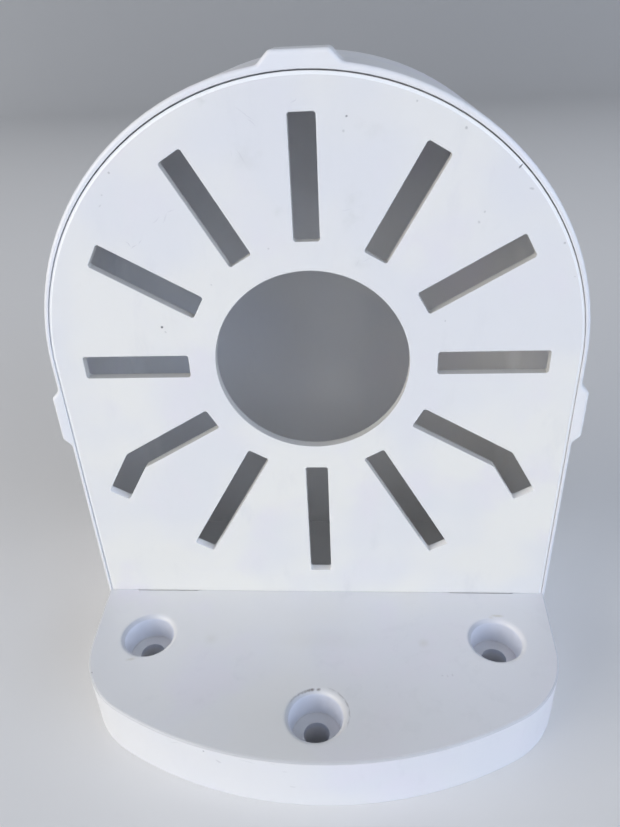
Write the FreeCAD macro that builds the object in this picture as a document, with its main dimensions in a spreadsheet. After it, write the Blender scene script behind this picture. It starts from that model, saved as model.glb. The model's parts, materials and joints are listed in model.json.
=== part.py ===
import FreeCAD, Part
import math
import os
import Sketcher
from FreeCAD import Vector

# Mini camera mount: an arched hood on a wall flange, closed by a slotted lid plate.
# It stands on its wall face, with the plate facing -Y and the wall screws pointing down.

SIZES = {
    # Hood
    "hood_half_width": 55.25,
    "hood_depth": 47.0,
    "arch_rise": 0.57,
    "wall": 2.0,
    "rim_width": 0.9,
    "rim_round": 0.75,
    "rear_round": 6.0,
    # Lid plate
    "plate_thickness": 2.0,
    "plate_side_gap": 0.08,
    "plate_top_gap": 0.25,
    "plate_bevel_width": 0.6,
    "plate_bevel_depth": 0.25,
    "hole_radius": 20.0,
    "hole_above_flange": 63.65,
    # Slots, from a ring round the hole to a margin off the plate's edge or foot
    "slot_width": 5.0,
    "slot_corner_cut": 0.35,
    "slot_start": 25.6,
    "slot_edge_margin": 6.27,
    "slot_foot_margin": 7.15,
    "slot_step": 30.0,
    "bend_edge_margin": 6.87,
    "bend_leg": 11.1,
    "bend_turn": 30.0,
    # Wall flange
    "flange_reach": 46.0,
    "flange_height": 14.1,
    "flange_inset": 0.15,
    "flange_taper": 3.6,
    "flange_corner_radius": 21.5,
    "flange_front_radius": 88.5,
    "flange_edge_bevel": 0.4,
    "seat_height": 3.0,
    # Wall screw holes
    "side_screw_x": 40.75,
    "side_screw_reach": 14.7,
    "front_screw_reach": 35.3,
    "screw_hole_radius": 2.75,
    "recess_radius": 5.8,
    "recess_floor_radius": 5.2,
    "recess_depth": 6.3,
    "recess_lip": 1.3,
    "boss_wall": 1.8,
    "boss_floor": 2.0,
    "spigot_radius": 5.0,
    # Ribs on the wall side
    "rib_thickness": 1.6,
    "rib_setback": 0.5,
    "rib_x": 20.4,
    # Catch bulges on the rim
    "catch_rise": 1.7,
    "catch_run": 2.4,
    "catch_length": 9.5,
    "catch_sink": 0.7,
    "catch_crest_round": 1.1,
    "catch_foot_round": 1.6,
    "top_catch_width": 15.0,
    "side_catch_width": 15.3,
    "side_catch_drop": 12.65,
    # Snap hooks behind the plate
    "hook_width": 7.8,
    "hook_thickness": 1.6,
    "hook_length": 8.0,
    "hook_gap": 0.5,
    "hook_bite": 1.6,
    "barb_start": 2.6,
    "barb_length": 3.4,
    "barb_crest": 1.1,
    "catch_clearance": 0.35,
    # Foot tabs of the plate
    "tab_x": 39.5,
    "tab_width": 15.0,
    "tab_length": 6.0,
    "tab_step": 0.15,
    "tab_side_gap": 0.3,
    "tab_front_gap": 0.15,
    "notch_depth": 3.0,
}

SHORT_SLOTS = 7
LONG_SLOTS = 3

# Places along X, Y and Z, worked out from the sizes
PLATE_HALF = "(Sizes.hood_half_width - Sizes.rim_width - Sizes.plate_side_gap)"
FLANGE_HALF = "(Sizes.hood_half_width - Sizes.flange_inset)"
SLOT_END = f"({PLATE_HALF} - Sizes.slot_edge_margin)"
LONG_SLOT_END = "(Sizes.hole_above_flange - Sizes.slot_foot_margin)"
BEND_DISTANCE = f"({PLATE_HALF} - Sizes.bend_edge_margin)"
PLATE_FRONT = "(Sizes.flange_reach - Sizes.hood_depth) / 2"
PLATE_BACK = f"({PLATE_FRONT} + Sizes.plate_thickness)"
CROSS_WALL_BACK = f"({PLATE_BACK} + Sizes.wall)"
HOLE_LEVEL = "(Sizes.flange_height + Sizes.hole_above_flange)"
HOOK_OUTER = "(Sizes.hood_half_width - Sizes.wall - Sizes.hook_gap)"
HOOK_INNER = f"({HOOK_OUTER} - Sizes.hook_thickness)"
BARB_TIP = f"({HOOK_OUTER} + Sizes.hook_bite)"
SIDE_SCREW_Y = f"({PLATE_FRONT} - Sizes.side_screw_reach)"
FRONT_SCREW_Y = f"({PLATE_FRONT} - Sizes.front_screw_reach)"
# How far a form reaches into the one that it grows out of
ROOT = "(Sizes.wall / 2)"
RIB_TOP = f"(Sizes.flange_height - {ROOT})"
TOUCH = 0.001

doc = FreeCAD.newDocument("mini_camera_mount")


def make_sheet():
    sheet = doc.addObject("Spreadsheet::Sheet", "Sizes")
    for row, (name, number) in enumerate(SIZES.items(), start=1):
        sheet.set(f"A{row}", name)
        sheet.set(f"B{row}", str(number))
        sheet.setAlias(f"B{row}", name)
    doc.recompute()


def plate_front():
    return (SIZES["flange_reach"] - SIZES["hood_depth"]) / 2


def new_sketch(body, name, role, **offset):
    """A sketch on one origin plane, moved by expressions for x, y and z."""
    plane = next(f for f in body.Origin.OriginFeatures if f.Role == role)
    sketch = body.newObject("Sketcher::SketchObject", name)
    sketch.AttachmentSupport = (plane, [""])
    sketch.MapMode = "FlatFace"
    for axis, expression in offset.items():
        sketch.setExpression(f"AttachmentOffset.Base.{axis}", expression)
    return sketch


def front_sketch(body, name, y):
    """A sketch that faces -Y at the depth y, with its origin on the hole's axis."""
    return new_sketch(body, name, "XZ_Plane", y=HOLE_LEVEL, z=f"-({y})")


def drawn(sketch, kind, targets):
    """What a dimension measures in the sketch as it was first drawn."""
    if kind == "Radius":
        return sketch.Geometry[targets[0]].Radius
    if kind == "Angle":
        line = sketch.Geometry[targets[0]]
        along = line.EndPoint - line.StartPoint
        return math.atan2(along.y, along.x)
    point = sketch.getPoint(targets[2], targets[3])
    return point.x if kind == "DistanceX" else point.y


def bind(sketch, kind, *targets, to):
    """Add one dimension and tie it to an expression."""
    value = drawn(sketch, kind, targets)
    index = sketch.addConstraint(Sketcher.Constraint(kind, *targets, value))
    sketch.setExpression(f"Constraints[{index}]", to)


def polygon(sketch, corners):
    """A closed outline whose corners are pairs of expressions."""
    first = sketch.GeometryCount
    count = len(corners)
    turn = 2 * math.pi / count
    guess = [Vector(math.cos(turn * k), math.sin(turn * k), 0) for k in range(count)]
    for k in range(count):
        line = Part.LineSegment(guess[k], guess[(k + 1) % count])
        sketch.addGeometry(line, False)
    for k in range(count):
        after = first + (k + 1) % count
        sketch.addConstraint(Sketcher.Constraint("Coincident", first + k, 2, after, 1))
    for k, (x, y) in enumerate(corners):
        bind_point(sketch, first + k, 1, x, y)


def bind_point(sketch, geometry, end, x, y):
    bind(sketch, "DistanceX", -1, 1, geometry, end, to=x)
    bind(sketch, "DistanceY", -1, 1, geometry, end, to=y)


def rectangle(sketch, left, right, bottom, top):
    polygon(sketch, [(left, bottom), (right, bottom), (right, top), (left, top)])


def circle(sketch, x, y, radius):
    sketch.addGeometry(Part.Circle(Vector(0, 0, 0), Vector(0, 0, 1), 1), False)
    index = sketch.GeometryCount - 1
    bind(sketch, "Radius", index, to=radius)
    bind_point(sketch, index, 3, x, y)


def arch(sketch, half_width, foot, rise=None):
    """Straight sides under a half circle, whose centre may stand above the origin."""
    width = SIZES["hood_half_width"]
    low = -SIZES["hole_above_flange"]
    centre = Vector(0, 0, 0)
    left, right = Vector(-width, 0, 0), Vector(width, 0, 0)
    foot_left, foot_right = Vector(-width, low, 0), Vector(width, low, 0)
    sketch.addGeometry(
        Part.ArcOfCircle(Part.Circle(centre, Vector(0, 0, 1), width), 0, math.pi), False)
    sketch.addGeometry(Part.LineSegment(left, foot_left), False)
    sketch.addGeometry(Part.LineSegment(foot_left, foot_right), False)
    sketch.addGeometry(Part.LineSegment(foot_right, right), False)
    sketch.addConstraint(Sketcher.Constraint("Tangent", 0, 2, 1, 1))
    sketch.addConstraint(Sketcher.Constraint("Coincident", 1, 2, 2, 1))
    sketch.addConstraint(Sketcher.Constraint("Coincident", 2, 2, 3, 1))
    sketch.addConstraint(Sketcher.Constraint("Tangent", 3, 2, 0, 1))
    sketch.addConstraint(Sketcher.Constraint("Vertical", 1))
    sketch.addConstraint(Sketcher.Constraint("Vertical", 3))
    sketch.addConstraint(Sketcher.Constraint("Horizontal", 2))
    bind(sketch, "Radius", 0, to=half_width)
    bind(sketch, "DistanceY", -1, 1, 2, 1, to=foot)
    if rise is None:
        sketch.addConstraint(Sketcher.Constraint("Coincident", 0, 3, -1, 1))
    else:
        sketch.addConstraint(Sketcher.Constraint("PointOnObject", 0, 3, -2))
        bind(sketch, "DistanceY", -1, 1, 0, 3, to=rise)


def arc(centre, radius, start, end):
    return Part.ArcOfCircle(Part.Circle(centre, Vector(0, 0, 1), radius), start, end)


def flange_outline(sketch, back, inset="0", inset_guess=0):
    """Tapered sides, two corner arcs and a shallow front arc, set in from the edge."""
    taper = math.radians(SIZES["flange_taper"])
    corner = SIZES["flange_corner_radius"] - inset_guess
    front = SIZES["flange_front_radius"] - inset_guess
    side = SIZES["hood_half_width"] - SIZES["flange_inset"] - inset_guess
    back_guess = plate_front() + SIZES["plate_thickness"]
    front_centre = Vector(0, plate_front() - SIZES["flange_reach"] + inset_guess + front, 0)

    # The corner's centre keeps its radius from the side and lies on the inner circle
    # that keeps the same radius from the front arc.
    start = Vector(side - corner * math.cos(taper), back_guess + corner * math.sin(taper), 0)
    along = Vector(-math.sin(taper), -math.cos(taper), 0)
    away = start - front_centre
    half_b = away.dot(along)
    root = math.sqrt(half_b ** 2 - away.dot(away) + (front - corner) ** 2)
    centre = start + along * (root - half_b)
    centre_left = Vector(-centre.x, centre.y, 0)
    lean = math.atan2(centre.y - front_centre.y, centre.x)
    touch = centre + Vector(math.cos(taper), -math.sin(taper), 0) * corner
    touch_left = Vector(-touch.x, touch.y, 0)
    end, end_left = Vector(side, back_guess, 0), Vector(-side, back_guess, 0)

    sketch.addGeometry(Part.LineSegment(touch, end), False)
    sketch.addGeometry(arc(centre, corner, lean, -taper), False)
    sketch.addGeometry(arc(front_centre, front, -math.pi - lean, lean), False)
    sketch.addGeometry(arc(centre_left, corner, math.pi + taper, math.pi - lean), False)
    sketch.addGeometry(Part.LineSegment(touch_left, end_left), False)
    sketch.addGeometry(Part.LineSegment(end_left, end), False)
    for first, first_end, second, second_end in (
            (0, 1, 1, 2), (1, 1, 2, 2), (2, 1, 3, 2), (3, 1, 4, 1)):
        sketch.addConstraint(
            Sketcher.Constraint("Tangent", first, first_end, second, second_end))
    sketch.addConstraint(Sketcher.Constraint("Coincident", 4, 2, 5, 1))
    sketch.addConstraint(Sketcher.Constraint("Coincident", 5, 2, 0, 2))
    sketch.addConstraint(Sketcher.Constraint("Equal", 1, 3))
    sketch.addConstraint(Sketcher.Constraint("PointOnObject", 2, 3, -2))
    bind(sketch, "Radius", 1, to=f"Sizes.flange_corner_radius - {inset}")
    bind(sketch, "Radius", 2, to=f"Sizes.flange_front_radius - {inset}")
    bind(sketch, "DistanceY", -1, 1, 2, 3,
         to=f"{PLATE_FRONT} - Sizes.flange_reach + Sizes.flange_front_radius")
    lean_in = f"({CROSS_WALL_BACK} - ({back})) * tan(Sizes.flange_taper * 1 deg)"
    half = f"({FLANGE_HALF} - {lean_in} - {inset} / cos(Sizes.flange_taper * 1 deg))"
    bind_point(sketch, 5, 2, half, back)
    bind_point(sketch, 5, 1, f"-{half}", back)
    bind(sketch, "Angle", 0, to="90 deg - Sizes.flange_taper * 1 deg")
    bind(sketch, "Angle", 4, to="90 deg + Sizes.flange_taper * 1 deg")


def extrude(body, kind, name, sketch, length, flip=False, both=False):
    """A Pad or Pocket of the sketch, as long as the expression says."""
    feature = body.newObject(f"PartDesign::{kind}", name)
    feature.Profile = sketch
    feature.Reversed = flip
    if both:
        feature.SideType = "Symmetric"
    feature.setExpression("Length", length)
    doc.recompute()
    return feature


def soften(body, kind, name, size_name, size, choose):
    """A Fillet or Chamfer on the edges of the body's tip that choose() accepts."""
    base = body.Tip
    names = [f"Edge{k}" for k, edge in enumerate(base.Shape.Edges, start=1) if choose(edge)]
    feature = body.newObject(f"PartDesign::{kind}", name)
    feature.Base = (base, names)
    feature.setExpression(size_name, size)
    doc.recompute()
    return feature


def at_depth(edge, y):
    box = edge.BoundBox
    return abs(box.YMin - y) < TOUCH and abs(box.YMax - y) < TOUCH


def is_foot_line(edge):
    """True for a straight edge that runs across along X."""
    return edge.BoundBox.ZLength < TOUCH


def outside_hood(point):
    """How far a point lies outside the hood's arch and straight sides."""
    arch_centre = SIZES["flange_height"] + SIZES["hole_above_flange"] + SIZES["arch_rise"]
    up = max(point.z - arch_centre, 0)
    return math.hypot(point.x, up) - SIZES["hood_half_width"]


def middle_of(edge):
    return edge.valueAt((edge.FirstParameter + edge.LastParameter) / 2)


def is_outer_rim(edge):
    """True for the outer edge of the hood's open front, catches included."""
    outside = outside_hood(middle_of(edge)) > -SIZES["wall"] / 2
    return outside and at_depth(edge, plate_front()) and not is_foot_line(edge)


def catch_outline(sketch, half, crest, place):
    """A low trapezoid on the rim, rooted inside the wall; place() turns it round."""
    wall_outer = f"({crest} - Sizes.catch_rise)"
    root = f"({wall_outer} - {ROOT})"
    foot = f"({wall_outer} - Sizes.catch_sink)"
    flat = f"({half} - Sizes.catch_run)"
    corners = [(f"-{half}", root), (half, root), (half, foot), (flat, crest),
               (f"-{flat}", crest), (f"-{half}", foot)]
    polygon(sketch, [place(along, out) for along, out in corners])


def on_top(along, out):
    return along, out


def on_side(sign):
    def place(along, out):
        return f"{sign} * ({out})", f"({along}) - Sizes.side_catch_drop"
    return place


def make_hood():
    body = doc.addObject("PartDesign::Body", "HoodShell")
    front = plate_front()
    back = front + SIZES["hood_depth"]
    wall_foot = f"-{HOLE_LEVEL}"

    outer = front_sketch(body, "HoodOutline", PLATE_FRONT)
    arch(outer, "Sizes.hood_half_width", wall_foot, "Sizes.arch_rise")
    extrude(body, "Pad", "HoodBlock", outer, "Sizes.hood_depth", flip=True)
    inner = front_sketch(body, "CavityOutline", PLATE_FRONT)
    arch(inner, "Sizes.hood_half_width - Sizes.wall", f"{wall_foot} - Sizes.wall")
    extrude(body, "Pocket", "Cavity", inner, "Sizes.hood_depth - Sizes.wall")
    inner_back = back - SIZES["wall"]
    soften(body, "Fillet", "CavityRound", "Radius", "Sizes.rear_round - Sizes.wall",
           lambda edge: at_depth(edge, inner_back) and not is_foot_line(edge))
    soften(body, "Fillet", "RearRound", "Radius", "Sizes.rear_round",
           lambda edge: at_depth(edge, back) and not is_foot_line(edge))
    add_catches(body)
    soften(body, "Fillet", "RimRound", "Radius", "Sizes.rim_round", is_outer_rim)

    seat = front_sketch(body, "SeatOutline", PLATE_FRONT)
    arch(seat, f"{PLATE_HALF} + Sizes.plate_side_gap", "-Sizes.hole_above_flange",
         "Sizes.plate_top_gap - Sizes.plate_side_gap")
    extrude(body, "Pocket", "PlateSeat", seat, "Sizes.plate_thickness")
    cut_catch_pockets(body)
    return body


def add_catches(body):
    outline = front_sketch(body, "CatchOutline", PLATE_FRONT)
    side_crest = "(Sizes.hood_half_width + Sizes.catch_rise)"
    catch_outline(outline, "(Sizes.top_catch_width / 2)",
                  f"({side_crest} + Sizes.arch_rise)", on_top)
    for sign in (1, -1):
        catch_outline(outline, "(Sizes.side_catch_width / 2)", side_crest, on_side(sign))
    extrude(body, "Pad", "Catches", outline, "Sizes.catch_length", flip=True)

    end = plate_front() + SIZES["catch_length"]
    crest = SIZES["catch_rise"] / 2

    def on_catch(edge):
        box = edge.BoundBox
        return box.XLength + box.ZLength < TOUCH and box.YMax < end + TOUCH

    soften(body, "Fillet", "CatchCrests", "Radius", "Sizes.catch_crest_round",
           lambda edge: on_catch(edge) and outside_hood(middle_of(edge)) > crest)
    soften(body, "Fillet", "CatchFeet", "Radius", "Sizes.catch_foot_round",
           lambda edge: on_catch(edge) and abs(outside_hood(middle_of(edge))) < TOUCH)


def cut_catch_pockets(body):
    """Room in the wall for the three barbs, open to the inside of the hood."""
    start = f"{PLATE_BACK} + Sizes.barb_start - Sizes.catch_clearance"
    outline = front_sketch(body, "CatchPocketOutline", start)
    half = "(Sizes.hook_width / 2 + Sizes.catch_clearance)"
    outer = f"({BARB_TIP} + Sizes.catch_clearance)"
    inner = HOOK_INNER
    rectangle(outline, f"-{half}", half, inner, outer)
    low, high = f"-{half} - Sizes.side_catch_drop", f"{half} - Sizes.side_catch_drop"
    rectangle(outline, inner, outer, low, high)
    rectangle(outline, f"-{outer}", f"-{inner}", low, high)
    extrude(body, "Pocket", "CatchPockets", outline,
            "Sizes.barb_length + 2 * Sizes.catch_clearance")


def screw_places():
    return (("Right", "Sizes.side_screw_x", SIDE_SCREW_Y),
            ("Left", "-Sizes.side_screw_x", SIDE_SCREW_Y),
            ("Front", "0", FRONT_SCREW_Y))


def add_bosses(body):
    """Each screw recess has a cup under the skin and a spigot down to the wall."""
    cup_bottom = "(Sizes.flange_height - Sizes.recess_depth - Sizes.boss_floor)"
    cups = new_sketch(body, "BossCupOutline", "XY_Plane", z=cup_bottom)
    spigots = new_sketch(body, "SpigotOutline", "XY_Plane")
    for _, x, y in screw_places():
        circle(cups, x, y, "Sizes.recess_radius + Sizes.boss_wall")
        circle(spigots, x, y, "Sizes.spigot_radius")
    extrude(body, "Pad", "BossCups", cups, f"{RIB_TOP} - {cup_bottom}")
    extrude(body, "Pad", "Spigots", spigots, f"{cup_bottom} + Sizes.boss_floor / 2")


def add_ribs(body):
    outline = new_sketch(body, "CrossRibOutline", "XY_Plane", z="Sizes.rib_setback")
    half = "(Sizes.rib_thickness / 2)"
    rectangle(outline, "-Sizes.side_screw_x", "Sizes.side_screw_x",
              f"{SIDE_SCREW_Y} - {half}", f"{SIDE_SCREW_Y} + {half}")
    extrude(body, "Pad", "CrossRib", outline, f"{RIB_TOP} - Sizes.rib_setback")

    long_ribs = new_sketch(body, "LongRibOutline", "XY_Plane", z="Sizes.rib_setback")
    front = f"({PLATE_FRONT} - Sizes.flange_reach + {ROOT})"
    radius = "Sizes.flange_front_radius"
    sagitta = f"({radius} - sqrt({radius} ^ 2 - Sizes.rib_x ^ 2))"
    back = f"({PLATE_BACK} + {ROOT})"
    rectangle(long_ribs, f"-{half}", half, front, back)
    for sign in ("", "-"):
        middle = f"{sign}Sizes.rib_x"
        rectangle(long_ribs, f"{middle} - {half}", f"{middle} + {half}",
                  f"{front} + {sagitta}", back)
    extrude(body, "Pad", "LongRibs", long_ribs, f"{RIB_TOP} - Sizes.rib_setback")


def cut_screw_holes(body):
    """A clearance hole and a slightly tapered recess, turned about each screw's axis."""
    floor = "(Sizes.flange_height - Sizes.recess_depth)"
    above = "(Sizes.flange_height + Sizes.wall)"
    below = "-Sizes.wall"
    for name, x, y in screw_places():
        profile = new_sketch(body, f"{name}ScrewProfile", "XZ_Plane", x=x, z=f"-{y}")
        polygon(profile, [("0", below), ("Sizes.screw_hole_radius", below),
                          ("Sizes.screw_hole_radius", floor),
                          ("Sizes.recess_floor_radius", floor),
                          ("Sizes.recess_radius", "Sizes.flange_height"),
                          ("Sizes.recess_radius", above), ("0", above)])
        groove = body.newObject("PartDesign::Groove", f"{name}ScrewHole")
        groove.Profile = profile
        groove.ReferenceAxis = (profile, ["V_Axis"])
        groove.Angle = 360
        doc.recompute()

    top = SIZES["flange_height"]
    rim = 2 * SIZES["recess_radius"]

    def on_recess_rim(edge):
        box = edge.BoundBox
        return abs(box.ZMin - top) < TOUCH and abs(box.XLength - rim) < TOUCH and edge.isClosed()

    soften(body, "Fillet", "RecessLips", "Radius", "Sizes.recess_lip", on_recess_rim)


def cut_tab_notches(body):
    notches = new_sketch(body, "NotchOutline", "XY_Plane", z="Sizes.flange_height")
    half = "(Sizes.tab_width / 2 + Sizes.tab_side_gap)"
    for sign in ("", "-"):
        middle = f"{sign}Sizes.tab_x"
        rectangle(notches, f"{middle} - {half}", f"{middle} + {half}",
                  f"{PLATE_FRONT} - Sizes.tab_front_gap", PLATE_BACK)
    extrude(body, "Pocket", "TabNotches", notches, "Sizes.notch_depth")


def make_flange():
    body = doc.addObject("PartDesign::Body", "WallFlange")
    outer = new_sketch(body, "FlangeOutline", "XY_Plane")
    flange_outline(outer, CROSS_WALL_BACK)
    extrude(body, "Pad", "FlangeBlock", outer, "Sizes.flange_height")
    top = SIZES["flange_height"]
    back = plate_front() + SIZES["plate_thickness"] + SIZES["wall"]

    def on_top_edge(edge):
        return abs(edge.BoundBox.ZMin - top) < TOUCH and not at_depth(edge, back)

    soften(body, "Chamfer", "FlangeEdge", "Size", "Sizes.flange_edge_bevel", on_top_edge)

    inner = new_sketch(body, "FlangeHollowOutline", "XY_Plane")
    flange_outline(inner, PLATE_BACK, "Sizes.wall", SIZES["wall"])
    extrude(body, "Pocket", "FlangeHollow", inner, "Sizes.flange_height - Sizes.wall", flip=True)
    add_bosses(body)
    add_ribs(body)
    cut_screw_holes(body)
    cut_tab_notches(body)

    foot = new_sketch(body, "FootSeatOutline", "XY_Plane", z=f"Sizes.flange_height - {ROOT}")
    side = f"(Sizes.hood_half_width - {ROOT})"
    rectangle(foot, f"-{side}", side, PLATE_BACK, CROSS_WALL_BACK)
    extrude(body, "Pad", "FootSeat", foot, f"Sizes.seat_height + {ROOT}")
    return body


def make_hood_bracket():
    """Hood and flange come out of one mould as one piece."""
    bracket = doc.addObject("Part::MultiFuse", "HoodBracket")
    bracket.Shapes = [make_hood(), make_flange()]
    bracket.Refine = True
    bracket.Label = "hood_bracket"
    doc.recompute()
    return bracket


def turned(x, y, angle):
    """The expressions for a point turned by an angle about the hole's axis."""
    return f"({x}) * cos({angle}) - ({y}) * sin({angle})", \
        f"({x}) * sin({angle}) + ({y}) * cos({angle})"


def slot_pocket(body, name, corners, angle):
    sketch = front_sketch(body, f"{name}Outline", PLATE_FRONT)
    polygon(sketch, [turned(x, y, angle) for x, y in corners])
    return extrude(body, "Pocket", name, sketch, "Sizes.plate_thickness")


def repeat_round(body, name, slot, hole, count):
    """Copies of one slot, a slot step apart, about the hole's axis."""
    pattern = body.newObject("PartDesign::PolarPattern", name)
    pattern.Originals = [slot]
    pattern.Axis = (hole, ["N_Axis"])
    pattern.Occurrences = count
    pattern.setExpression("Angle", f"Sizes.slot_step * {count - 1}")
    body.Tip = pattern
    doc.recompute()


def cut_slots(body, hole):
    """Seven short slots over the top, three long ones below and a bent one each side."""
    half = "Sizes.slot_width / 2"

    def straight(end):
        return [("Sizes.slot_start", f"-{half}"), (end, f"-{half}"),
                (end, half), ("Sizes.slot_start", half)]

    short = slot_pocket(body, "ShortSlot", straight(SLOT_END), "0 deg")
    repeat_round(body, "ShortSlots", short, hole, SHORT_SLOTS)
    long = slot_pocket(body, "LongSlot", straight(LONG_SLOT_END),
                       "(-90 deg - Sizes.slot_step * 1 deg)")
    repeat_round(body, "LongSlots", long, hole, LONG_SLOTS)

    turn = "(-Sizes.bend_turn * 1 deg)"
    corner_shift = f"{half} * tan(Sizes.bend_turn * 0.5 deg)"
    leg_end = []
    for side in (half, f"-{half}"):
        x, y = turned("Sizes.bend_leg", side, turn)
        leg_end.append((f"{BEND_DISTANCE} + {x}", y))
    corners = [("Sizes.slot_start", f"-{half}"), ("Sizes.slot_start", half),
               (f"{BEND_DISTANCE} + {corner_shift}", half), *leg_end,
               (f"{BEND_DISTANCE} - {corner_shift}", f"-{half}")]
    bent = slot_pocket(body, "BentSlot", corners, "(-Sizes.slot_step * 1 deg)")
    mirror = body.newObject("PartDesign::Mirrored", "BentSlots")
    mirror.Originals = [bent]
    mirror.MirrorPlane = (hole, ["V_Axis"])
    body.Tip = mirror
    doc.recompute()
    soften(body, "Chamfer", "SlotCorners", "Size", "Sizes.slot_corner_cut", is_slot_corner)


def is_slot_corner(edge):
    """True for an edge through the plate that lies nearer to the hole than the foot does."""
    box = edge.BoundBox
    middle = box.Center
    level = SIZES["flange_height"] + SIZES["hole_above_flange"]
    through = box.XLength + box.ZLength < TOUCH and abs(box.YMin - plate_front()) < TOUCH
    off_hole = math.hypot(middle.x, middle.z - level)
    return through and SIZES["hole_radius"] + TOUCH < off_hole < SIZES["hole_above_flange"]


def hook_outline(sketch, place):
    """Side view of a hook: a straight tongue with a ramped barb near its end."""
    back = PLATE_BACK
    tip = f"({back} + Sizes.hook_length)"
    barb_front = f"({back} + Sizes.barb_start)"
    barb_back = f"({barb_front} + Sizes.barb_length)"
    root = f"({back} - {ROOT})"
    corners = [(HOOK_INNER, root), (HOOK_INNER, tip), (HOOK_OUTER, tip),
               (HOOK_OUTER, barb_back), (BARB_TIP, f"({barb_front} + Sizes.barb_crest)"),
               (BARB_TIP, barb_front), (HOOK_OUTER, barb_front), (HOOK_OUTER, root)]
    polygon(sketch, [place(out, y) for out, y in corners])


def add_hooks(body):
    top = new_sketch(body, "TopHookOutline", "YZ_Plane")
    hook_outline(top, lambda out, y: (y, f"{out} + {HOLE_LEVEL}"))
    extrude(body, "Pad", "TopHook", top, "Sizes.hook_width", both=True)
    level = f"{HOLE_LEVEL} - Sizes.side_catch_drop"
    for name, sign in (("Right", ""), ("Left", "-")):
        side = new_sketch(body, f"{name}HookOutline", "XY_Plane", z=level)
        hook_outline(side, lambda out, y: (f"{sign}{out}", y))
        extrude(body, "Pad", f"{name}Hook", side, "Sizes.hook_width", both=True)


def make_camera_plate():
    body = doc.addObject("PartDesign::Body", "CameraPlate")
    body.Label = "camera_plate"
    outline = front_sketch(body, "PlateOutline", PLATE_FRONT)
    arch(outline, PLATE_HALF, "-Sizes.hole_above_flange")
    extrude(body, "Pad", "PlateBlock", outline, "Sizes.plate_thickness", flip=True)
    front = plate_front()
    bevel = soften(body, "Chamfer", "PlateEdge", "Size", "Sizes.plate_bevel_depth",
                   lambda edge: at_depth(edge, front) and not is_foot_line(edge))
    bevel.ChamferType = "Two distances"
    bevel.setExpression("Size2", "Sizes.plate_bevel_width")
    doc.recompute()

    tabs = front_sketch(body, "TabOutline", f"{PLATE_FRONT} + Sizes.tab_step")
    half = "(Sizes.tab_width / 2)"
    for sign in ("", "-"):
        middle = f"{sign}Sizes.tab_x"
        rectangle(tabs, f"{middle} - {half}", f"{middle} + {half}",
                  "-Sizes.hole_above_flange - Sizes.tab_length",
                  "-Sizes.hole_above_flange + Sizes.plate_thickness")
    extrude(body, "Pad", "FootTabs", tabs, "Sizes.plate_thickness - Sizes.tab_step", flip=True)
    add_hooks(body)

    hole = front_sketch(body, "HoleOutline", PLATE_FRONT)
    hole.addGeometry(Part.Circle(Vector(0, 0, 0), Vector(0, 0, 1), 1), False)
    hole.addConstraint(Sketcher.Constraint("Coincident", 0, 3, -1, 1))
    bind(hole, "Radius", 0, to="Sizes.hole_radius")
    extrude(body, "Pocket", "CableHole", hole, "Sizes.plate_thickness")
    cut_slots(body, hole)
    return body


def check(pieces):
    for item in doc.Objects:
        if "Invalid" in item.State or "Error" in item.State:
            raise RuntimeError(f"{item.Name} failed: {item.State}")
    for piece in pieces:
        shape = piece.Shape
        if shape.isNull() or not shape.isValid() or len(shape.Solids) != 1:
            raise RuntimeError(f"{piece.Label} is not one valid solid")


def main():
    make_sheet()
    pieces = [make_hood_bracket(), make_camera_plate()]
    doc.recompute()
    check(pieces)
    os.makedirs("parts", exist_ok=True)
    for piece in pieces:
        piece.Shape.exportStep(f"parts/{piece.Label}.step")
        print(f"{piece.Label}: {piece.Shape.Volume:.0f} mm3")


main()
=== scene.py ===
import json
import math

import bpy
from mathutils import Matrix, Vector


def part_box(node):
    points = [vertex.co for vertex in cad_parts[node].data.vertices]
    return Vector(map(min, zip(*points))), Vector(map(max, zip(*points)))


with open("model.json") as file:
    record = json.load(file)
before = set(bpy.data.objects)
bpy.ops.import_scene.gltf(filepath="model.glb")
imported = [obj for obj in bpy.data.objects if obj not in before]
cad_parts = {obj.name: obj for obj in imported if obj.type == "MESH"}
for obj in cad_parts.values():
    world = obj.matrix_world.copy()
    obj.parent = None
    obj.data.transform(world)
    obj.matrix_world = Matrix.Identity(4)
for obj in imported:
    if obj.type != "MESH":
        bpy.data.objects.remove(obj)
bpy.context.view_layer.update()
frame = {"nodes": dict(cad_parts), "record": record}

MM = 0.001
MOUNTS = {mount["name"]: mount for mount in frame["record"]["mounts"]}

# The middle of the cable hole, on the plate's front face, is where the photo was measured from.
HOLE = Vector((0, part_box("camera_plate")[0][1], MOUNTS["cable_hole"]["pos_m"][2]))
HOLE_ABOVE_FLANGE = 63.65 * MM
FLANGE_TOP = HOLE.z - HOLE_ABOVE_FLANGE

# Camera, fitted to the photo: its place from the hole, and where it looks
CAMERA_FROM_HOLE = Vector((8.99, -125.64, 61.76)) * MM
CAMERA_LOOK = Vector((-0.0679, 0.8617, -0.5028))
CAMERA_UP = Vector((0.0085, 0.5045, 0.8634))
LENS_MM = 29.6
SENSOR_MM = 36.0
NEAREST_SEEN = 5 * MM

# Light: what the lamps face, their colours, and a weak pale blue from all around
LAMPS_FACE = Vector((0, 0, 50 * MM))
WARM_LIGHT = (1.0, 0.97, 0.94)
BLUE_LIGHT = (0.67, 0.78, 1.0)
COOL_LIGHT = (0.90, 0.93, 1.0)
PALE_LIGHT = (0.95, 0.97, 1.0)
SKY_LIGHT = (0.82, 0.88, 1.0)
SKY_STRENGTH = 0.22

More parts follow.
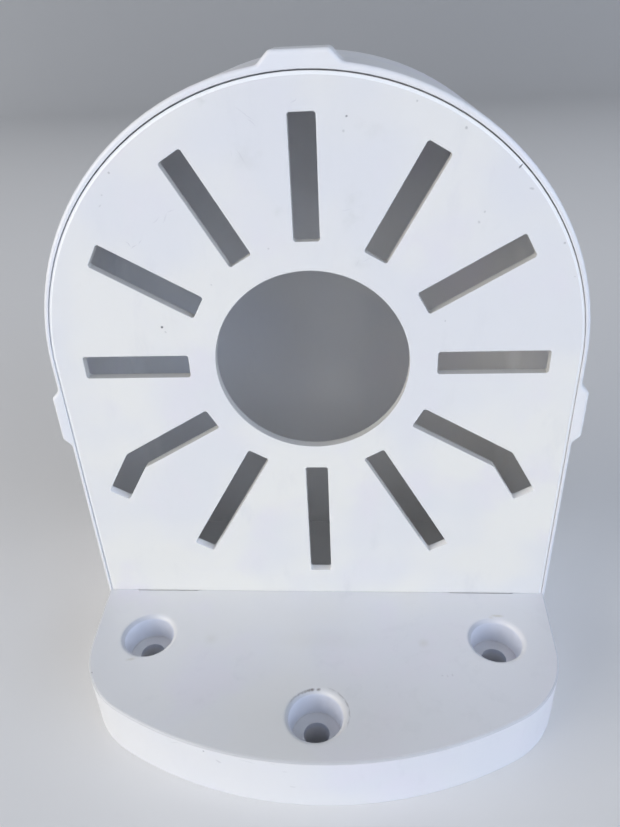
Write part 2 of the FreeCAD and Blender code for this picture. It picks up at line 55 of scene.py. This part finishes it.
# Floor and backdrop, in metres: the paint greys from FADE_START to FADE_END behind the object
FLOOR_HALF_WIDTH = 3.0
FLOOR_FRONT = -2.0
BEND_START = 1.2
BEND_RADIUS = 0.6
BEND_STEPS = 16
BACKDROP_TOP = 1.5
FADE_START = 0.2
FADE_END = 1.75
FLOOR_PAINT = (0.84, 0.83, 0.81)
BACKDROP_PAINT = (0.48, 0.485, 0.49)

# The plastic of both parts
PLASTIC_IOR = 1.53
GLOW_WEIGHT = 0.2
GLOW_RADIUS = (1.0, 0.95, 0.9)
GLOW_REACH = 1.2 * MM
EDGE_RADIUS = 0.25 * MM
EDGE_SAMPLES = 4
RUBBED = (0.50, 0.51, 0.54)
# The next colour is a painted highlight along sharp edges
EDGE_HIGHLIGHT = (0.88, 0.885, 0.90)

# The bracket's colours, clean and marked, with painted light and painted shade
BRACKET_NEUTRAL = (0.785, 0.785, 0.785)
BRACKET_COOL = (0.762, 0.770, 0.797)
# The next colour is painted light inside the hood
PAINTED_LIGHT_INSIDE = (0.92, 0.915, 0.905)
# The next colour is painted shade on the flange's top edge
FLANGE_EDGE_SHADE = (0.56, 0.565, 0.58)
# The next colour is painted shade on the left lips of the screw recesses
LIP_SHADE = (0.45, 0.465, 0.51)
# The next colour is painted shade, tinted blue, for the walls of the screw recesses
RECESS_BLUE_SHADE = (0.715, 0.74, 0.815)
YELLOWISH = (0.60, 0.585, 0.52)
GREY_SPECK = (0.30, 0.29, 0.31)
BROWN_DIRT = (0.17, 0.145, 0.13)

# The plate's colours, clean and marked, with painted light and painted shade
PLATE_WARM = (0.828, 0.815, 0.760)
PLATE_NEUTRAL = (0.772, 0.771, 0.762)
# The next colour is painted shade towards the plate's top
TOP_SHADE = (0.576, 0.592, 0.683)
# The next two colours are painted shade on the slot walls and painted light on the outer walls
SLOT_WALL_SHADE = (0.64, 0.63, 0.60)
OUTER_WALL_LIGHT = (0.93, 0.925, 0.91)
# The next colour is a painted highlight on the plate's bevel
BEVEL_HIGHLIGHT = (0.90, 0.905, 0.90)
SMUDGE = (0.53, 0.54, 0.52)
SCRATCH = (0.30, 0.28, 0.34)
BLACK_SPECK = (0.08, 0.08, 0.085)

# Marks on the plate: right and up from the hole, half length, half width (mm), turn, strength
PLATE_MARKS = (
    (-30.1, 8.9, 0.36, 0.32, 0, 1.0),
    (-29.5, 7.8, 0.3, 0.2, 30, 0.24),
    (7.8, 47.0, 0.3, 0.24, 20, 0.7),
    (7.2, 44.7, 0.35, 0.25, 0, 0.22),
    (37.9, 37.9, 0.5, 0.18, 55, 0.9),
    (28.1, 44.4, 0.4, 0.26, -30, 0.37),
    (19.6, 48.9, 0.3, 0.25, 0, 0.27),
    (40.3, 34.0, 0.5, 0.26, -20, 0.27),
    (47.3, 24.1, 0.3, 0.25, 0, 0.34),
    (50.2, 17.7, 0.3, 0.25, 0, 0.2),
    (32.4, 30.2, 0.28, 0.24, 0, 0.27),
    (31.5, 28.4, 0.32, 0.26, 0, 0.24),
    (26.5, 9.2, 0.25, 0.2, 0, 0.27),
    (-35.2, 39.0, 0.3, 0.25, 0, 0.34),
    (-37.3, 35.2, 0.28, 0.2, 0, 0.2),
    (-38.0, 33.3, 0.4, 0.2, 40, 0.17),
    (-18.9, 17.6, 0.28, 0.22, 0, 0.22),
    (-7.3, 24.4, 0.26, 0.22, 0, 0.2),
)
# Hairline scratches on the plate, listed like the marks
PLATE_SCRATCHES = (
    (-33.9, 26.0, 0.75, 0.13, -50, 0.3),
    (-33.0, 25.5, 0.8, 0.12, 35, 0.28),
    (-31.6, 26.3, 0.7, 0.12, 48, 0.22),
    (-28.0, 30.3, 1.0, 0.13, 38, 0.16),
    (-26.2, 30.6, 1.2, 0.16, 62, 0.15),
    (-24.9, 32.0, 0.9, 0.14, 20, 0.14),
    (-9.6, 47.9, 2.6, 0.11, -36, 0.16),
    (-8.6, 46.6, 1.2, 0.1, -42, 0.2),
    (-10.9, 41.0, 1.9, 0.11, -60, 0.14),
    (-12.6, 41.6, 0.9, 0.1, -80, 0.1),
    (-1.1, 49.7, 0.7, 0.12, 38, 0.22),
    (11.2, 21.8, 1.4, 0.12, 24, 0.12),
    (9.4, 21.2, 1.1, 0.1, 62, 0.1),
    (7.6, 31.3, 1.5, 0.12, 12, 0.1),
)
# Broad faint smudges on the plate, listed like the marks
PLATE_SMUDGES = (
    (-44.1, 19.2, 2.4, 1.3, 55, 0.22),
    (-5.2, 31.6, 2.2, 1.4, 10, 0.26),
    (11.5, 44.6, 4.2, 1.8, -12, 0.2),
    (8.6, 31.0, 3.0, 5.2, -10, 0.26),
    (10.0, 22.0, 3.2, 2.2, 20, 0.2),
    (-17.1, 50.3, 1.1, 0.5, 22, 0.4),
    (-10.6, 41.2, 4.6, 3.4, -40, 0.2),
    (33.5, 28.2, 3.0, 1.6, 0, 0.14),
)
# Marks on the flange's top: right, forward of the plate, half length, half width, turn, strength
FLANGE_MARKS = (
    (27.3, 24.9, 0.22, 0.3, 0, 0.2),
    (28.4, 25.0, 0.22, 0.26, 0, 0.16),
    (29.5, 24.7, 0.22, 0.42, 10, 0.2),
    (-51.0, 25.7, 0.28, 0.28, 0, 0.5),
)
# Yellowish smudges on the flange's top, listed like its marks; the broad last one is painted
# shade, darker towards the flange's front
FLANGE_SMUDGES_AND_SHADE = (
    (-43.2, 21.9, 1.4, 0.5, 12, 0.6),
    (42.2, 7.5, 1.9, 0.5, -3, 0.75),
    (40.6, 8.0, 0.8, 0.35, -10, 0.5),
    (24.0, 16.0, 1.8, 1.4, 0, 0.3),
    (-25.6, 15.7, 2.2, 1.6, 0, 0.2),
    (0.5, 15.5, 14.0, 4.0, 0, 0.12),
    # Painted shade: darker towards the front of the flange's top
    (-2.0, 38.0, 48.0, 19.0, 0, 0.3),
)
# Marks on the flange's front: right, forward of the plate, below the top, and as above
FRONT_MARKS = (
    (-22.3, 43.1, 1.2, 0.34, 0.26, 0, 0.6),
    (-19.4, 43.9, 3.4, 0.75, 0.24, -28, 0.24),
    (-28.6, 41.0, 1.5, 1.3, 0.14, 22, 0.16),
    (-13.2, 45.0, 1.4, 1.9, 0.14, -8, 0.14),
    (-8.1, 45.6, 1.0, 0.6, 0.2, 0, 0.12),
    (-5.7, 45.8, 3.2, 0.5, 0.25, 0, 0.1),
    (-4.4, 45.9, 8.0, 0.7, 0.3, 0, 0.12),
)
# Dirt caught on the lip of the front screw hole, and in the last five rows a thin dark line
# along the lip's outer edge to the right: bearing and distance from the hole's middle, half
# length, half width, strength
LIP_DIRT = (
    (87, 6.35, 0.6, 0.36, 0.75),
    (99, 6.35, 0.6, 0.34, 0.9),
    (106, 6.35, 0.9, 0.3, 0.75),
    (113, 6.35, 0.9, 0.27, 0.55),
    (121, 6.35, 0.9, 0.24, 0.5),
    (128, 6.35, 0.6, 0.28, 0.55),
    (136, 6.35, 0.9, 0.22, 0.4),
    (146, 6.4, 0.9, 0.2, 0.28),
    (62, 7.1, 1.4, 0.2, 0.22),
    (42, 7.1, 1.5, 0.22, 0.34),
    (24, 7.1, 1.5, 0.22, 0.4),
    (6, 7.05, 1.5, 0.2, 0.34),
    (-12, 7.0, 1.4, 0.18, 0.22),
)

# How far a mark reaches into its face, and up to what ratio of sizes it is drawn round
MARK_DEPTH = 1.0 * MM
ROUND_ENOUGH = 1.6
# A mark is at its strongest within the first share of its size, and gone at the second
MARK_CORE = 0.55
MARK_END = 1.15

# A screw recess, with its rounded lip, ends within this distance of its middle
RECESS_REACH = 7.6 * MM


def add_camera():
    camera = bpy.data.objects.new("camera", bpy.data.cameras.new("camera"))
    bpy.context.collection.objects.link(camera)
    back = -CAMERA_LOOK.normalized()
    right = CAMERA_UP.cross(back).normalized()
    up = back.cross(right)
    turn = Matrix((right, up, back)).transposed()
    camera.matrix_world = Matrix.Translation(HOLE + CAMERA_FROM_HOLE) @ turn.to_4x4()
    camera.data.sensor_fit = "VERTICAL"
    camera.data.sensor_height = SENSOR_MM
    camera.data.lens = LENS_MM
    camera.data.clip_start = NEAREST_SEEN
    bpy.context.scene.camera = camera


def add_lamp(name, place, size, watts, colour, shine=True):
    """A soft square lamp that faces the object's middle; shine=False leaves no highlight."""
    data = bpy.data.lights.new(name, "AREA")
    data.size = size
    data.energy = watts
    data.color = colour
    lamp = bpy.data.objects.new(name, data)
    bpy.context.collection.objects.link(lamp)
    lamp.location = place
    aim = LAMPS_FACE - lamp.location
    lamp.rotation_euler = aim.to_track_quat("-Z", "Y").to_euler()
    lamp.visible_glossy = shine


def add_world():
    world = bpy.data.worlds.new("studio")
    bpy.context.scene.world = world
    world.use_nodes = True
    sky = world.node_tree.nodes["Background"]
    sky.inputs["Color"].default_value = (*SKY_LIGHT, 1)
    sky.inputs["Strength"].default_value = SKY_STRENGTH


def floor_profile():
    """Points (y, z) of the floor, its bend and the backdrop, from the front to the top."""
    profile = [(FLOOR_FRONT, 0.0)]
    for step in range(BEND_STEPS + 1):
        angle = math.pi / 2 * step / BEND_STEPS
        along = BEND_START + BEND_RADIUS * math.sin(angle)
        profile.append((along, BEND_RADIUS - BEND_RADIUS * math.cos(angle)))
    profile.append((BEND_START + BEND_RADIUS, BACKDROP_TOP))
    return profile


def floor_material():
    material = bpy.data.materials.new("floor")
    material.use_nodes = True
    nodes = Nodes(material)
    far = nodes.between(nodes.position()["Y"], FADE_START, FADE_END, smooth=True)
    paint = nodes.mix(far, FLOOR_PAINT, BACKDROP_PAINT)
    nodes.join(paint, nodes.shader.inputs["Base Color"])
    nodes.shader.inputs["Roughness"].default_value = 0.7
    return material


def add_floor():
    """A pale floor that curves up into a backdrop well behind the object."""
    profile = floor_profile()
    corners = [(x, y, z) for y, z in profile for x in (-FLOOR_HALF_WIDTH, FLOOR_HALF_WIDTH)]
    faces = [(2 * k, 2 * k + 1, 2 * k + 3, 2 * k + 2) for k in range(len(profile) - 1)]
    mesh = bpy.data.meshes.new("floor")
    mesh.from_pydata(corners, [], faces)
    mesh.polygons.foreach_set("use_smooth", [True] * len(faces))
    floor = bpy.data.objects.new("floor", mesh)
    bpy.context.collection.objects.link(floor)
    mesh.materials.append(floor_material())


class Nodes:
    """Short names for adding and joining the nodes of one material."""

    def __init__(self, material):
        self.tree = material.node_tree
        self.shader = self.tree.nodes["Principled BSDF"]

    def add(self, kind, **settings):
        node = self.tree.nodes.new(kind)
        for name, value in settings.items():
            setattr(node, name, value)
        return node

    def join(self, output, target):
        self.tree.links.new(output, target)

    def feed(self, value, target):
        """Join an output to a socket, or set a constant on it."""
        if isinstance(value, bpy.types.NodeSocket):
            self.join(value, target)
        else:
            target.default_value = value

    def place(self):
        return self.add("ShaderNodeTexCoord").outputs["Object"]

    def direction(self):
        """Where the face looks."""
        return self.add("ShaderNodeTexCoord").outputs["Normal"]

    def split(self, vector):
        """The X, Y and Z of a vector."""
        node = self.add("ShaderNodeSeparateXYZ")
        self.join(vector, node.inputs[0])
        return node.outputs

    def position(self):
        return self.split(self.place())

    def facing(self):
        return self.split(self.direction())

    def noise(self, scale, detail=2.0, roughness=0.5, vector=None, output="Fac"):
        """Soft noise with about this many bumps to the metre."""
        node = self.add("ShaderNodeTexNoise")
        node.inputs["Scale"].default_value = scale
        node.inputs["Detail"].default_value = detail
        node.inputs["Roughness"].default_value = roughness
        self.join(vector or self.place(), node.inputs["Vector"])
        return node.outputs[output]

    def between(self, value, low, high, to_low=0.0, to_high=1.0, smooth=False):
        """A ramp from to_low, where the value is low, to to_high, where it is high."""
        node = self.add("ShaderNodeMapRange")
        if smooth:
            node.interpolation_type = "SMOOTHSTEP"
        for socket, number in zip(node.inputs[1:5], (low, high, to_low, to_high)):
            socket.default_value = number
        self.join(value, node.inputs["Value"])
        return node.outputs["Result"]

    def band(self, value, rise, fall, top=1.0):
        """The top value between two ramps, 0 outside; each ramp is a pair, from and to."""
        rising = self.between(value, *rise)
        return self.math("MULTIPLY", rising, self.between(value, *fall, top, 0.0))

    def math(self, operation, first, second=0.0):
        node = self.add("ShaderNodeMath", operation=operation)
        self.feed(first, node.inputs[0])
        self.feed(second, node.inputs[1])
        return node.outputs["Value"]

    def vector_math(self, operation, *values):
        node = self.add("ShaderNodeVectorMath", operation=operation)
        for socket, value in zip(node.inputs, values):
            self.feed(value, socket)
        return node

    def distance(self, vector, centre):
        return self.vector_math("DISTANCE", vector, centre).outputs["Value"]

    def mix(self, amount, first, second):
        """A colour between two, each a colour or an output."""
        node = self.add("ShaderNodeMix", data_type="RGBA")
        self.join(amount, node.inputs["Factor"])
        for socket, colour in ((node.inputs[6], first), (node.inputs[7], second)):
            self.feed((*colour, 1) if isinstance(colour, tuple) else colour, socket)
        return node.outputs[2]

    def bump(self, height, strength, distance, normal):
        node = self.add("ShaderNodeBump")
        node.inputs["Strength"].default_value = strength
        node.inputs["Distance"].default_value = distance
        self.join(height, node.inputs["Height"])
        self.join(normal, node.inputs["Normal"])
        return node.outputs["Normal"]


def mark(nodes, vector, centre, sizes, looks_along, turn, strength, core=MARK_CORE):
    """A soft-edged mark on a face that looks along Y or Z: strength in its core, 0 outside."""
    long, wide = sizes[0] * MM, sizes[1] * MM
    if max(sizes) < ROUND_ENOUGH * min(sizes):
        radius = (long + wide) / 2
        away = nodes.distance(vector, centre)
    else:
        radius = 1.0
        away = oval_distance(nodes, vector, centre, long, wide, looks_along, turn)
    return nodes.between(away, core * radius, MARK_END * radius, strength, 0.0, smooth=True)


def oval_distance(nodes, vector, centre, long, wide, looks_along, turn):
    """The distance from the middle of a turned oval, 1 on its outline."""
    oval = nodes.add("ShaderNodeMapping", vector_type="TEXTURE")
    oval.inputs["Location"].default_value = centre
    if looks_along == "Y":
        oval.inputs["Rotation"].default_value = (0, -math.radians(turn), 0)
        oval.inputs["Scale"].default_value = (long, MARK_DEPTH, wide)
    else:
        oval.inputs["Rotation"].default_value = (0, 0, math.radians(turn))
        oval.inputs["Scale"].default_value = (long, wide, MARK_DEPTH)
    nodes.join(vector, oval.inputs["Vector"])
    return nodes.vector_math("LENGTH", oval.outputs["Vector"]).outputs["Value"]


def ragged_place(nodes, shift, scale):
    """Object coordinates pushed about a little, so that marks have ragged outlines."""
    place = nodes.place()
    noise = nodes.noise(scale, 1.0, vector=place, output="Color")
    centred = nodes.vector_math("SUBTRACT", noise, (0.5, 0.5, 0.5))
    small = nodes.vector_math("SCALE", centred.outputs["Vector"])
    small.inputs["Scale"].default_value = shift
    moved = nodes.vector_math("ADD", place, small.outputs["Vector"])
    return moved.outputs["Vector"]


def strongest(nodes, amounts):
    total = amounts[0]
    for amount in amounts[1:]:
        total = nodes.math("MAXIMUM", total, amount)
    return total


def plate_marks(nodes, vector, marks, core):
    amounts = []
    for right, up, long, wide, turn, strength in marks:
        centre = HOLE + Vector((right, 0, up)) * MM
        amounts.append(mark(nodes, vector, centre, (long, wide), "Y", turn, strength, core))
    return strongest(nodes, amounts)


def flange_marks(nodes, vector, marks, core=MARK_CORE):
    amounts = []
    for right, ahead, long, wide, turn, strength in marks:
        centre = Vector((right * MM, HOLE.y - ahead * MM, FLANGE_TOP))
        amounts.append(mark(nodes, vector, centre, (long, wide), "Z", turn, strength, core))
    return strongest(nodes, amounts)


def front_marks(nodes, vector):
    amounts = []
    for right, ahead, below, long, wide, turn, strength in FRONT_MARKS:
        centre = Vector((right * MM, HOLE.y - ahead * MM, FLANGE_TOP - below * MM))
        amounts.append(mark(nodes, vector, centre, (long, wide), "Y", turn, strength))
    return strongest(nodes, amounts)


def lip_dirt(nodes, vector):
    """Brown dirt in the rounded lip of the front screw hole, and a thin dark line along its
    outer edge to the right.
    """
    x, y, _ = MOUNTS["front_wall_screw"]["pos_m"]
    amounts = []
    for bearing, distance, long, wide, strength in LIP_DIRT:
        angle = math.radians(bearing)
        centre = Vector((x + distance * MM * math.cos(angle),
                         y + distance * MM * math.sin(angle), FLANGE_TOP))
        along_lip = bearing - 90
        amounts.append(mark(nodes, vector, centre, (long, wide), "Z", along_lip, strength, 0.2))
    return strongest(nodes, amounts)


def near_screws(nodes):
    """1 in the three screw recesses and on their lips, fading out over the next millimetre."""
    x, y, _ = MOUNTS["rear_wall_screws"]["pos_m"]
    half = MOUNTS["rear_wall_screws"]["dims"]["spacing_x_mm"] / 2 * MM
    front = MOUNTS["front_wall_screw"]["pos_m"]
    end = RECESS_REACH + 1.0 * MM
    amounts = []
    for across, along in ((x + half, y), (x - half, y), (front[0], front[1])):
        away = nodes.distance(nodes.place(), (across, along, FLANGE_TOP))
        amounts.append(nodes.between(away, RECESS_REACH, end, 1.0, 0.0))
    return strongest(nodes, amounts)


def inside_amount(nodes, face):
    """1 on the lower faces inside the hood, which look towards its axis or its front."""
    typical_radius = 30 * MM
    place = nodes.position()
    across = nodes.math("MULTIPLY", place["X"], face["X"])
    up = nodes.math("SUBTRACT", place["Z"], HOLE.z)
    up = nodes.math("MULTIPLY", up, face["Z"])
    outward = nodes.math("DIVIDE", nodes.math("ADD", across, up), typical_radius)
    inward = nodes.math("MULTIPLY", nodes.math("ADD", outward, face["Y"]), -1)
    amount = nodes.between(inward, 0.1, 0.3)
    behind = nodes.between(place["Y"], HOLE.y + 3 * MM, HOLE.y + 5 * MM)
    low = nodes.between(place["Z"], HOLE.z - 5 * MM, HOLE.z - 55 * MM)
    return nodes.math("MULTIPLY", nodes.math("MULTIPLY", amount, behind), low)


def shaded_flange_edge(nodes, face, screws):
    """Painted shade on the bevelled edge of the flange's top, away from the screw recesses."""
    sloping = nodes.band(face["Z"], (0.45, 0.6), (0.85, 0.97), 0.8)
    height = nodes.position()["Z"]
    low = nodes.between(height, FLANGE_TOP + 0.2 * MM, FLANGE_TOP + 0.6 * MM, 1.0, 0.0)
    sloping = nodes.math("MULTIPLY", sloping, low)
    return nodes.math("MULTIPLY", sloping, nodes.between(screws, 0.0, 1.0, 1.0, 0.0))


def shaded_lip(nodes, face, screws):
    """Painted shade on the left lips of the screw recesses, which look up and to the right."""
    lip = nodes.band(face["Z"], (0.1, 0.3), (0.9, 1.0))
    lip = nodes.math("MULTIPLY", lip, nodes.between(face["X"], -0.2, 0.5, 0.0, 0.85))
    return nodes.math("MULTIPLY", lip, screws)


def edge_amount(nodes, soft_normal):
    """How near a sharp edge is: 1 where the softened normal turns away from the face's."""
    alike = nodes.vector_math("DOT_PRODUCT", soft_normal, nodes.direction())
    return nodes.between(alike.outputs["Value"], 0.995, 0.86, smooth=True)


def clouded(nodes, neutral, cool):
    """Faint clouds of a neutral and a cooler white, with a tinge of lilac."""
    lilac = (cool[0] + 0.012, cool[1] - 0.012, cool[2] + 0.006)
    clouds = nodes.between(nodes.noise(30), 0.40, 0.60, smooth=True)
    white = nodes.mix(clouds, neutral, cool)
    tinge = nodes.between(nodes.noise(55, 3.0), 0.5, 0.72, 0.0, 0.8, smooth=True)
    return nodes.mix(tinge, white, lilac)


def rubbing(nodes):
    """Light rubbing from handling, in patches drawn out upwards."""
    drawn_out = nodes.add("ShaderNodeMapping")
    drawn_out.inputs["Scale"].default_value = (1.0, 1.0, 0.35)
    drawn_out.inputs["Rotation"].default_value = (0.3, 0.5, 0.2)
    nodes.join(nodes.place(), drawn_out.inputs["Vector"])
    rub = nodes.between(nodes.noise(190, 4.0, 0.65, drawn_out.outputs["Vector"]), 0.55, 0.74)
    rub = nodes.math("MULTIPLY", rub, nodes.between(nodes.noise(45), 0.42, 0.6))
    return nodes.math("MULTIPLY", rub, 0.14)


def moulded_white(name, neutral, cool, roughness, painted_edge_highlight):
    """White moulded plastic: faint clouding, handling marks, fine grain, soft edges and a
    painted highlight along them.
    """
    material = bpy.data.materials.new(name)
    material.use_nodes = True
    nodes = Nodes(material)
    rub = rubbing(nodes)
    base = nodes.mix(rub, clouded(nodes, neutral, cool), RUBBED)

    gloss = nodes.between(nodes.noise(120, 3.0), 0.3, 0.7, roughness - 0.05, roughness + 0.07)
    nodes.join(nodes.math("ADD", gloss, rub), nodes.shader.inputs["Roughness"])
    nodes.shader.inputs["IOR"].default_value = PLASTIC_IOR
    nodes.shader.inputs["Subsurface Weight"].default_value = GLOW_WEIGHT
    nodes.shader.inputs["Subsurface Radius"].default_value = GLOW_RADIUS
    nodes.shader.inputs["Subsurface Scale"].default_value = GLOW_REACH

    soft_edge = nodes.add("ShaderNodeBevel", samples=EDGE_SAMPLES)
    soft_edge.inputs["Radius"].default_value = EDGE_RADIUS
    # Painted highlight along sharp edges, as strong as the edge amount
    edge = nodes.math("MULTIPLY", edge_amount(nodes, soft_edge.outputs["Normal"]), painted_edge_highlight)
    base = nodes.mix(edge, base, EDGE_HIGHLIGHT)
    flow = nodes.bump(nodes.noise(22, 1.0), 0.5, 0.25 * MM, soft_edge.outputs["Normal"])
    grain = nodes.bump(nodes.noise(2600), 0.12, 0.03 * MM, flow)
    nodes.join(grain, nodes.shader.inputs["Normal"])
    return material, nodes, base


def bracket_material():
    material, nodes, base = moulded_white(
        "bracket_plastic", BRACKET_NEUTRAL, BRACKET_COOL, roughness=0.36, painted_edge_highlight=0.12)
    ragged = ragged_place(nodes, 0.4 * MM, 1400)
    face = nodes.facing()
    screws = near_screws(nodes)

    # Painted light brightens the lower faces inside the hood; painted shade darkens the flange's
    # bevelled edge and the left lips of the recesses, and greys the recess walls towards blue
    base = nodes.mix(inside_amount(nodes, face), base, PAINTED_LIGHT_INSIDE)
    # Painted shade on the flange's top edge
    base = nodes.mix(shaded_flange_edge(nodes, face, screws), base, FLANGE_EDGE_SHADE)
    # Painted shade on the left lips of the screw recesses
    base = nodes.mix(shaded_lip(nodes, face, screws), base, LIP_SHADE)
    # Painted shade, tinted blue, on the walls of the screw recesses
    wall = nodes.math("MULTIPLY", screws, nodes.between(face["Z"], 0.2, 0.5, 1.0, 0.0))
    base = nodes.mix(wall, base, RECESS_BLUE_SHADE)

    # Yellowish smudges, and painted shade towards the flange's front
    base = nodes.mix(flange_marks(nodes, ragged, FLANGE_SMUDGES_AND_SHADE, 0.0), base, YELLOWISH)
    specks = nodes.math("MAXIMUM", flange_marks(nodes, ragged, FLANGE_MARKS),
                        front_marks(nodes, ragged))
    base = nodes.mix(specks, base, GREY_SPECK)
    base = nodes.mix(lip_dirt(nodes, ragged), base, BROWN_DIRT)
    nodes.join(base, nodes.shader.inputs["Base Color"])
    return material


def plate_material():
    material, nodes, base = moulded_white(
        "plate_plastic", PLATE_WARM, PLATE_NEUTRAL, roughness=0.40, painted_edge_highlight=0.6)
    ragged = ragged_place(nodes, 0.45 * MM, 1100)
    face = nodes.facing()

    # Painted shade greys the plate a little towards its top
    height = nodes.position()["Z"]
    top_shade = nodes.between(height, HOLE.z - 45 * MM, HOLE.z + 50 * MM, 0.0, 0.24)
    base = nodes.mix(top_shade, base, TOP_SHADE)

    # Painted shade darkens the walls of the slots, and painted light brightens the walls far
    # from the hole, at the outline, so the gap there shows lighter
    wall = nodes.between(nodes.math("ABSOLUTE", face["Y"]), 0.1, 0.3, 1.0, 0.0)
    outer = nodes.between(nodes.distance(nodes.place(), HOLE), 52 * MM, 53 * MM)
    base = nodes.mix(wall, base, nodes.mix(outer, SLOT_WALL_SHADE, OUTER_WALL_LIGHT))

    # Painted highlight: the bevel round the edge is lighter; it leans a little away from the
    # front
    bevel = nodes.band(face["Y"], (-0.985, -0.95), (-0.85, -0.80), 0.8)
    base = nodes.mix(bevel, base, BEVEL_HIGHLIGHT)

    streaky = ragged_place(nodes, 4 * MM, 320)
    smudge = plate_marks(nodes, streaky, PLATE_SMUDGES, 0.0)
    smudge = nodes.math("MULTIPLY", smudge, nodes.between(nodes.noise(420, 3.0), 0.35, 0.6))
    base = nodes.mix(smudge, base, SMUDGE)
    base = nodes.mix(plate_marks(nodes, ragged, PLATE_SCRATCHES, 0.1), base, SCRATCH)
    base = nodes.mix(plate_marks(nodes, ragged, PLATE_MARKS, 0.3), base, BLACK_SPECK)
    nodes.join(base, nodes.shader.inputs["Base Color"])
    return material


def dress(node, material):
    """Give a carried-over node its material."""
    mesh = frame["nodes"][node].data
    mesh.materials.clear()
    mesh.materials.append(material)


bpy.context.scene.view_settings.view_transform = "Standard"
add_camera()
add_world()
add_lamp("key", (-1.6, -0.85, 0.40), 1.6, 33, WARM_LIGHT)
add_lamp("fill", (1.5, -1.0, 0.40), 1.8, 30.5, BLUE_LIGHT)
add_lamp("front", (0, -1.3, 1.0), 1.2, 4.6, COOL_LIGHT, shine=False)
add_lamp("back_left", (-1.5, 1.2, 0.30), 0.6, 4.5, PALE_LIGHT, shine=False)
add_lamp("back_right", (1.5, 1.2, 0.30), 0.6, 4.5, PALE_LIGHT, shine=False)
add_floor()
dress("hood_bracket", bracket_material())
dress("camera_plate", plate_material())
